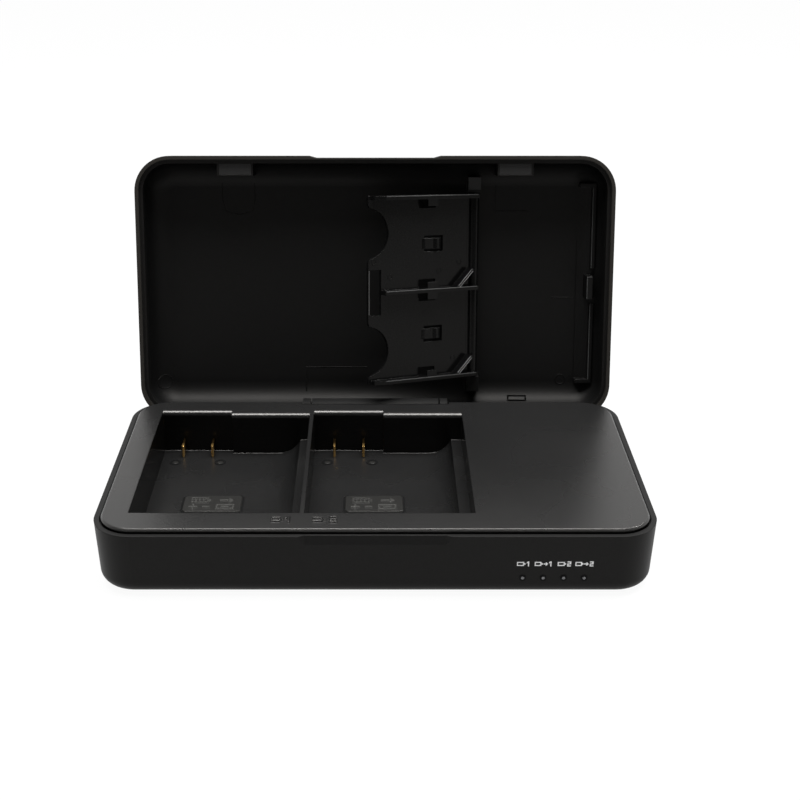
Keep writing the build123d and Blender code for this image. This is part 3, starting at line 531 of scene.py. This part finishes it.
witness = bmesh.new()
for ring_x, ring_y, radius in ((-65.2, -29.9, 2.1), (57.6, -29.3, 1.5)):
    turns = [math.radians(degrees) for degrees in range(0, 361, 12)]
    circle = [(ring_x + radius * math.cos(turn), ring_y + radius * math.sin(turn)) for turn in turns]
    drape_strip(witness, circle, width=0.3, lift=0.08)
tab_line = [(54.3, -3.7), (57.7, -3.7), (61.1, -3.7)]
bracket_line = [(61.6, -28.0), (61.6, 0.0), (61.6, 14.0)]
left_magnet_line = [(-46.4, 31.0), (-46.4, 26.0), (-45.4, 22.6), (-41.4, 21.6), (-37.4, 22.6), (-36.6, 26.0),
                    (-36.6, 31.0)]
right_magnet_line = [(36.5, 30.5), (36.5, 26.0), (36.5, 22.7), (41.5, 22.7), (46.5, 22.7)]
corner_line = [(-21.4, -33.0), (-21.4, -29.0), (-21.4, -25.4), (-12.0, -25.4), (-2.5, -25.4)]
drape_strip(witness, tab_line, width=0.3, lift=0.06)
drape_strip(witness, bracket_line, width=0.25, lift=0.05)
drape_strip(witness, left_magnet_line, width=0.25, lift=0.05)
drape_strip(witness, right_magnet_line, width=0.25, lift=0.05)
drape_strip(witness, corner_line, width=0.25, lift=0.06)
witness_mesh = finished_mesh("lid_witness_lines", witness)
link_piece("lid_witness_lines", witness_mesh, lid_grain, "lid")

boss_face, bracket_face, catch_face = -6.5, -9.0, -4.8
lid_edge_rise, edge_slope = 0.08, 0.07
boss_outline = bar(27.9, 29.3, 31.7, 33.0)
boss_grey = plain_finish("boss_grey", (0.007, 0.0065, 0.006), roughness=0.5, specular=0.3)
boss_cap = slab_mesh("tray_boss_cap", [boss_outline], boss_face, lid_edge_rise, lid_frame, slope=0.06)
link_piece("tray_boss_cap", boss_cap, boss_grey, "lid")
# Painted highlight: paler strips laid along edges stand in for the glints that rounded edges catch from the
# lamps.
painted_edge_highlight = plain_finish("painted_edge_highlight", (0.036, 0.036, 0.035), roughness=0.25, specular=0.5)
bracket_lines = [bar(65.6, 5.5, 65.95, 29.8), bar(65.6, -28.8, 65.95, -5.5)]
bracket_edges = slab_mesh("bracket_edges", bracket_lines, bracket_face, lid_edge_rise, lid_frame, edge_slope)
link_piece("bracket_edges", bracket_edges, painted_edge_highlight, "lid")
catch_lines = [bar(63.95, -3.4, 64.3, 3.4), bar(64.3, 3.1, 65.7, 3.4)]
catch_edges = slab_mesh("catch_edges", catch_lines, catch_face, lid_edge_rise, lid_frame, edge_slope)
link_piece("catch_edges", catch_edges, painted_edge_highlight, "lid")

# Card tray. A thin, glossier moulding that swings out of the lid on two trunnions.
# Each spring tongue carries a rounded pad that presses on the card, and ejector pins left small rings.
# The edges of its ribs and of its latch slot carry strips of painted highlight.
tray_gloss = moulded_plastic("tray_gloss", (0.003, 0.003, 0.003), roughness=0.17, specular=0.11,
                             grain_size=0.6 * MM, grain_height=0.004 * MM, edge_round=0.16 * MM)
finish_nodes(tray_gloss, "card_tray")

tray_tilt = math.radians(30)
hinge_x, hinge_depth = 29.8, 8.5
tray_along = Vector((-math.cos(tray_tilt), 0, 0)) + lid_out * math.sin(tray_tilt)
tray_face = Vector((math.sin(tray_tilt), 0, 0)) + lid_out * math.cos(tray_tilt)
tray_middle = lid_frame @ (Vector((hinge_x, 0, -hinge_depth)) * MM)
tray_frame = plane_at(tray_middle, tray_along, tray_face.cross(tray_along), tray_face)

plate_face, rib_face = 0.3, 3.1
pad_half_width = 1.45
pad_profile = [(12.2, 0.0), (12.4, 0.5), (13.0, 0.75), (13.8, 0.75), (14.4, 0.5), (14.8, 0.28), (17.6, 0.26),
               (18.6, 0.0)]
pads = bmesh.new()
for card_y in (-13.75, 13.25):
    sides = []
    for y in (card_y - pad_half_width, card_y + pad_half_width):
        sides.append([pads.verts.new(tray_frame @ (Vector((x, y, plate_face + z)) * MM))
                      for x, z in pad_profile])
    for number in range(len(pad_profile) - 1):
        pads.faces.new((sides[0][number], sides[0][number + 1], sides[1][number + 1], sides[1][number]))
    pads.faces.new((sides[0][0], sides[1][0], sides[1][-1], sides[0][-1]))
    pads.faces.new(sides[0])
    pads.faces.new(sides[1][::-1])
link_piece("tray_pads", finished_mesh("tray_pads", pads), tray_gloss, "tray")

tray_edge_rise = 0.06
rib_start, rib_end, rib_half, line_width = 0.5, 32.4, 0.6, 0.33
rib_lines = [bar(rib_start, rib_y - rib_half, rib_end, rib_y - rib_half + line_width)
             for rib_y in (-27.5, 0.0, 26.5)]
diagonal_x, diagonal_run, diagonal_half, line_half = 2.3, 4.7, 0.34, 0.1
for diagonal_y in (-5.4, 21.1):
    for side in (-diagonal_half, diagonal_half):
        near, far = (side - line_half) * math.sqrt(0.5), (side + line_half) * math.sqrt(0.5)
        corners = ((0, near), (diagonal_run, near), (diagonal_run, far), (0, far))
        rib_lines.append([(diagonal_x + run - across, diagonal_y + run + across) for run, across in corners])
# Painted highlight: paler strips along the ribs and the latch slot stand in for the glints on their rounded
# edges.
rib_edges = slab_mesh("tray_rib_edges", rib_lines, rib_face, tray_edge_rise, tray_frame, edge_slope)
link_piece("tray_rib_edges", rib_edges, painted_edge_highlight, "tray")
slot_line = bar(36.45, -6.5, 36.8, 6.5)
slot_edge = slab_mesh("tray_slot_edge", [slot_line], plate_face, tray_edge_rise, tray_frame, edge_slope)
link_piece("tray_slot_edge", slot_edge, painted_edge_highlight, "tray")

ring_places = ((35.1, -9.1), (12.5, -5.5), (5.4, -7.9), (29.6, -4.4), (7.3, 21.2))
ring_sunk = 0.02
for number, (x, y) in enumerate(ring_places, start=1):
    spot = tray_frame @ Matrix.Translation(Vector((x, y, plate_face - ring_sunk)) * MM)
    tray_ring = ring_mesh(f"tray_ring_{number}", inner=0.6, outer=0.85, height=0.09, place=spot)
    link_piece(f"tray_ring_{number}", tray_ring, tray_gloss, "tray")

# Stage. A white table runs back out of sight, and keeps a faint shadow of the charger.
# One broad softbox hangs overhead and a small one at the right picks out the tray's edges.
# The room is white behind the charger and along the horizon, and dark above it in front.
table_side, table_front, table_rear = 4, -4, 6
table_corners = bar(-table_side, table_front, table_side, table_rear)
table_mesh = bpy.data.meshes.new("table_top")
table_mesh.from_pydata([(x, y, 0) for x, y in table_corners], [], [(0, 1, 2, 3)])
table_top = bpy.data.objects.new("table_top", table_mesh)
bpy.context.scene.collection.objects.link(table_top)
table_white = bpy.data.materials.new("table_white")
table_white.use_nodes = True
tree = table_white.node_tree
shader = tree.nodes["Principled BSDF"]
shader.inputs["Base Color"].default_value = (0.4, 0.4, 0.4, 1.0)
shader.inputs["Roughness"].default_value = 0.7
glow = tree.nodes.new("ShaderNodeEmission")
glow.inputs["Strength"].default_value = 1.05
path = tree.nodes.new("ShaderNodeLightPath")
seen = tree.nodes.new("ShaderNodeMath")
seen.operation = "MAXIMUM"
tree.links.new(path.outputs["Is Camera Ray"], seen.inputs[0])
tree.links.new(path.outputs["Is Glossy Ray"], seen.inputs[1])
seen_through = tree.nodes.new("ShaderNodeMath")
seen_through.operation = "MAXIMUM"
tree.links.new(seen.outputs["Value"], seen_through.inputs[0])
tree.links.new(path.outputs["Is Transmission Ray"], seen_through.inputs[1])
glow_share = tree.nodes.new("ShaderNodeMath")
glow_share.operation = "MULTIPLY"
glow_share.inputs[1].default_value = 0.9
tree.links.new(seen_through.outputs["Value"], glow_share.inputs[0])
table_blend = tree.nodes.new("ShaderNodeMixShader")
tree.links.new(glow_share.outputs["Value"], table_blend.inputs["Fac"])
tree.links.new(shader.outputs["BSDF"], table_blend.inputs[1])
tree.links.new(glow.outputs["Emission"], table_blend.inputs[2])
tree.links.new(table_blend.outputs["Shader"], tree.nodes["Material Output"].inputs["Surface"])
table_mesh.materials.append(table_white)

room = bpy.data.worlds.new("studio")
bpy.context.scene.world = room
room.use_nodes = True
tree = room.node_tree
aim = tree.nodes.new("ShaderNodeTexCoord")
split = tree.nodes.new("ShaderNodeSeparateXYZ")
tree.links.new(aim.outputs["Generated"], split.inputs["Vector"])
rear = tree.nodes.new("ShaderNodeMapRange")
rear.inputs["From Min"].default_value = -0.45
rear.inputs["From Max"].default_value = 0.2
rear.inputs["To Min"].default_value = 0.1
rear.inputs["To Max"].default_value = 1.0
tree.links.new(split.outputs["Y"], rear.inputs["Value"])
horizon = tree.nodes.new("ShaderNodeMapRange")
horizon.inputs["From Min"].default_value = 0.05
horizon.inputs["From Max"].default_value = 0.08
tree.links.new(split.outputs["Z"], horizon.inputs["Value"])
room_white = tree.nodes.new("ShaderNodeMix")
room_white.data_type = "RGBA"
room_white.inputs["A"].default_value = (1.0, 1.0, 1.0, 1.0)
tree.links.new(horizon.outputs["Result"], room_white.inputs["Factor"])
tree.links.new(rear.outputs["Result"], room_white.inputs["B"])
tree.links.new(room_white.outputs["Result"], tree.nodes["Background"].inputs["Color"])

top_lamp = bpy.data.lights.new("top_softbox", "AREA")
top_lamp.shape = "RECTANGLE"
top_lamp.size = 0.7
top_lamp.size_y = 0.35
top_lamp.energy = 13.0
top_softbox = bpy.data.objects.new("top_softbox", top_lamp)
bpy.context.scene.collection.objects.link(top_softbox)
top_softbox.location = (0.0, 0.0, 0.75)
side_lamp = bpy.data.lights.new("side_softbox", "AREA")
side_lamp.size = 0.13
side_lamp.energy = 2.6
side_softbox = bpy.data.objects.new("side_softbox", side_lamp)
bpy.context.scene.collection.objects.link(side_softbox)
side_softbox.location = (0.45, 0.15, 0.55)
side_softbox.rotation_euler = (-side_softbox.location).to_track_quat("-Z", "Y").to_euler()

# Camera. Its lens, place and tilt were worked out from the charger's own edges.
# The small sideways shift sets the charger left of the middle.
camera_data = bpy.data.cameras.new("camera")
camera_data.sensor_width = 36.0
camera_data.lens = 59.49
camera_data.shift_x = 0.031
camera = bpy.data.objects.new("camera", camera_data)
bpy.context.scene.collection.objects.link(camera)
camera.location = (0.0, -320.11 * MM, 183.99 * MM)
camera.rotation_euler = (math.radians(65.28), 0, 0)
bpy.context.scene.camera = camera
bpy.context.scene.view_settings.view_transform = "Standard"
